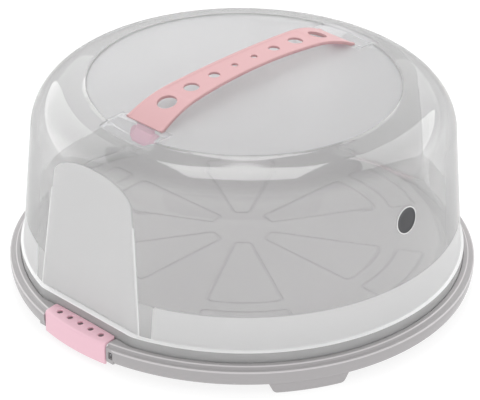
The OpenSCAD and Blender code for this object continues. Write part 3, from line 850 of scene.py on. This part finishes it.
def paintTrayLightAndShade(material):
    # painted shade in the grooves, painted light on the platform under the dome, painted highlights on the two lips
    # round the rim
    tree = material.node_tree
    coord = tree.nodes.new("ShaderNodeTexCoord")
    split = tree.nodes.new("ShaderNodeSeparateXYZ")
    tree.links.new(coord.outputs["Object"], split.inputs[0])
    x, y, z = split.outputs
    radius = mathNode(tree, "SQRT", mathNode(tree, "ADD", mathNode(tree, "MULTIPLY", x, x), mathNode(tree, "MULTIPLY", y, y)))
    top = tray["platform"] * mm
    inside = rampNode(tree, radius, 0.143, 0.142)
    # painted light: the platform inside 155 mm is lightened x1.38 to make up for light the dome holds back
    paintLightAndShade(tree, rampNode(tree, radius, 0.1565, 0.1545), 1.38)
    # painted shade: colour x0.82 in the grooves below the platform's top
    paintLightAndShade(tree, mathNode(tree, "MULTIPLY", rampNode(tree, z, top, top - 0.0003), inside), 0.82)
    # painted highlights: two thin rings at the rim's lips, lightened x1.5
    for start, end, low in ((0.1738, 0.1742, 0.0178), (0.1694, 0.1698, 0.0204)):
        ring = mathNode(tree, "MULTIPLY", rampNode(tree, radius, start, end), rampNode(tree, radius, end + 0.0012, end + 0.0008))
        paintLightAndShade(tree, mathNode(tree, "MULTIPLY", ring, rampNode(tree, z, low, low + 0.0003)), 1.5)


group = mouldedGroup()
materials = {name: makeMaterial(name, group) for name in ("badge", "badgeEdge")}
for name, gloss in (("tray", 0.25), ("strap", 0.1), ("hook", 0.1), ("clip", 0.2)):
    materials[name] = makeMaterial(name, group, Specular_IOR_Level=gloss)
materials["pin"] = makeMaterial("pin", group, Metallic=1.0)
clear = {
    "dome": (0.77, 1.46),
    "domeFlat": (0.4, 1.46),
    "domeBand": (0.4, 1.46),
    "domePanel": (0.7, 1.15),
    "domeFlange": (0.6, 1.46),
    # painted highlight line on the flange's top edge and the flats' creases
    "domeHighlightLine": (0.15, 1.46),
    "domeGap": (0.62, 1.46),
    "domePocket": (0.74, 1.15),
}
for name, (share, bending) in clear.items():
    materials[name] = makeMaterial(name, group, Transmission_Weight=share, IOR=bending)
paintDomeShade(materials["dome"], 0.45)
paintTrayLightAndShade(materials["tray"])
print("materials ready")

makeDome(*(materials[name] for name in clear))
makeTray(materials["tray"])
makeStrap(materials["strap"], materials["hook"])
makeClip("clip_left", -1, "clip_left", "latch_left", materials["clip"])
makeClip("clip_right", 1, "clip_right", "latch_right", materials["clip"])
makeBadge(materials["badge"], materials["badgeEdge"])
for name in ("hinge_pin_left", "hinge_pin_right"):
    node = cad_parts[name]
    node.data.materials.clear()
    node.data.materials.append(materials["pin"])


def stageMaterial(name, colour, strength):
    material = bpy.data.materials.new(name)
    material.use_nodes = True
    nodes, link = material.node_tree.nodes, material.node_tree.links.new
    nodes.clear()
    output = nodes.new("ShaderNodeOutputMaterial")
    shader = nodes.new("ShaderNodeEmission")
    shader.inputs["Color"].default_value = colour
    shader.inputs["Strength"].default_value = strength
    link(shader.outputs[0], output.inputs["Surface"])
    return material


def makeFloor():
    bm = bmesh.new()
    bmesh.ops.create_grid(bm, x_segments=1, y_segments=1, size=6)
    bmesh.ops.translate(bm, vec=(0, 0, -0.0003), verts=bm.verts)
    mesh = bpy.data.meshes.new("floor")
    bm.to_mesh(mesh)
    bm.free()
    floor = bpy.data.objects.new("floor", mesh)
    bpy.context.scene.collection.objects.link(floor)
    material = bpy.data.materials.new("floor")
    material.use_nodes = True
    nodes, link = material.node_tree.nodes, material.node_tree.links.new
    nodes.clear()
    output = nodes.new("ShaderNodeOutputMaterial")
    matt = nodes.new("ShaderNodeBsdfDiffuse")
    matt.inputs["Color"].default_value = (0.3, 0.3, 0.3, 1)
    glow = nodes.new("ShaderNodeEmission")
    path = nodes.new("ShaderNodeLightPath")
    level = nodes.new("ShaderNodeMapRange")
    level.inputs["To Min"].default_value = 0.78
    level.inputs["To Max"].default_value = 0.65
    link(path.outputs["Is Glossy Ray"], level.inputs["Value"])
    link(level.outputs[0], glow.inputs["Strength"])
    both = nodes.new("ShaderNodeAddShader")
    link(matt.outputs[0], both.inputs[0])
    link(glow.outputs[0], both.inputs[1])
    link(both.outputs[0], output.inputs["Surface"])
    mesh.materials.append(material)


def makeWorld():
    world = bpy.data.worlds.new("studio")
    bpy.context.scene.world = world
    world.use_nodes = True
    nodes, link = world.node_tree.nodes, world.node_tree.links.new
    back = nodes["Background"]
    path = nodes.new("ShaderNodeLightPath")
    seen = nodes.new("ShaderNodeMath")
    seen.operation = "MAXIMUM"
    link(path.outputs["Is Camera Ray"], seen.inputs[0])
    link(path.outputs["Is Transmission Ray"], seen.inputs[1])
    level = nodes.new("ShaderNodeMapRange")
    level.inputs["To Min"].default_value = 0.92
    level.inputs["To Max"].default_value = 1
    link(seen.outputs[0], level.inputs["Value"])
    mirrored = nodes.new("ShaderNodeMapRange")
    mirrored.inputs["To Max"].default_value = 0.93
    link(path.outputs["Is Glossy Ray"], mirrored.inputs["Value"])
    link(level.outputs[0], mirrored.inputs["To Min"])
    link(mirrored.outputs[0], back.inputs["Strength"])
    back.inputs["Color"].default_value = (1, 1, 1, 1)


def makeLamp(name, place, target, size, power, turn=0):
    data = bpy.data.lights.new(name, "AREA")
    data.shape = "RECTANGLE"
    data.size, data.size_y = size
    data.energy = power
    lamp = bpy.data.objects.new(name, data)
    bpy.context.scene.collection.objects.link(lamp)
    aim = (Vector(target) - Vector(place)).to_track_quat("-Z", "Y").to_matrix().to_4x4()
    lamp.matrix_world = Matrix.Translation(Vector(place)) @ aim @ Matrix.Rotation(math.radians(turn), 4, "Z")
    return lamp


def makeCard(name, place, target, size, colour, strength):
    # a card that only reflections see
    bm = bmesh.new()
    bmesh.ops.create_grid(bm, x_segments=1, y_segments=1, size=0.5)
    bmesh.ops.scale(bm, vec=(size[0], size[1], 1), verts=bm.verts)
    aim = (Vector(target) - Vector(place)).to_track_quat("Z", "Y").to_matrix().to_4x4()
    bmesh.ops.transform(bm, matrix=Matrix.Translation(Vector(place)) @ aim, verts=bm.verts)
    mesh = bpy.data.meshes.new(name)
    bm.to_mesh(mesh)
    bm.free()
    card = bpy.data.objects.new(name, mesh)
    bpy.context.scene.collection.objects.link(card)
    mesh.materials.append(stageMaterial(name, colour, strength))
    card.visible_camera = card.visible_diffuse = card.visible_transmission = card.visible_shadow = False


makeFloor()
makeWorld()
makeLamp("topSoftbox", (0.343, 0.331, 1.5), (0.343, 0.331, 0), (0.913, 0.72), 8, 44)
makeCard("backdrop", (1.521, 1.443, 1.462), (0, 0, 0.1), (40, 1.53), (1, 1, 1, 1), 1.6)
makeCard("backdropLow", (1.86, 1.78, 0.46), (0, 0, 0.1), (40, 1.2), (1, 1, 1, 1), 1.1)
makeCard("leftBox", (-0.183, 2.091, 1.264), (0, 0, 0.1), (2.33, 1.84), (1, 1, 1, 1), 3.0)
makeCard("rightBox", (1.84, -0.374, 1.594), (0, 0, 0.1), (1.63, 1.6), (1, 1, 1, 1), 4)
makeCard("cameraSide", (-1.9, -1.82, 1.1), (0, 0, 0.1), (4.4, 3.4), (1, 1, 1, 1), 0.3)
bpy.context.scene.view_settings.view_transform = "Standard"
print("stage ready")
